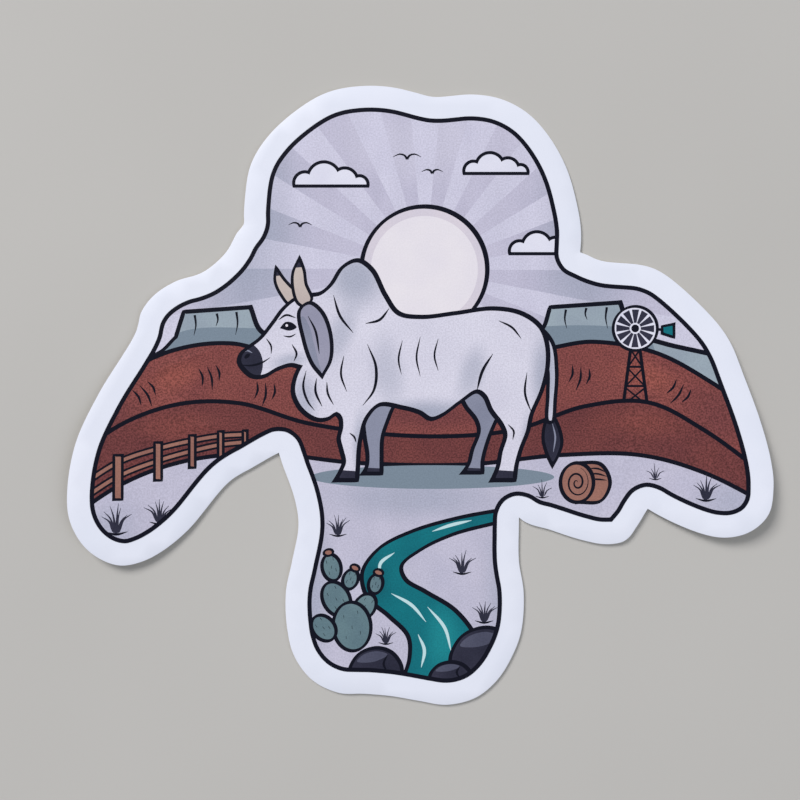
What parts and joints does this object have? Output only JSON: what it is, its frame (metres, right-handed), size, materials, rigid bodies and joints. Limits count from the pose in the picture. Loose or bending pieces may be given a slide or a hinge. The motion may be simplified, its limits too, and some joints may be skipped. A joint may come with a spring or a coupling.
{
  "type": "die-cut vinyl sticker",
  "caption": "Flat die-cut vinyl sticker in the outline of a lop-eared cattle head, printed inside a white border, on slit backing paper.",
  "frame": {"origin": "middle of the sticker's width and height, on the surface that it lies on, under the flat middle of the backing paper", "axes": "+X to the viewer's right across the ears, +Y from the muzzle to the poll, +Z out of the printed face"},
  "size_m": [0.089, 0.0788, 0.002],
  "materials": {
    "vinyl": "satin white laminated vinyl film",
    "print": "satin laminated print in pale lavender grey, brown, charcoal and teal",
    "backing_paper": "smooth coated release paper"
  },
  "bodies": {
    "root": {"vinyl_film": "vinyl", "ink_layer": "print", "backing_upper": "backing_paper", "backing_lower": "backing_paper"}
  },
  "joints": []
}
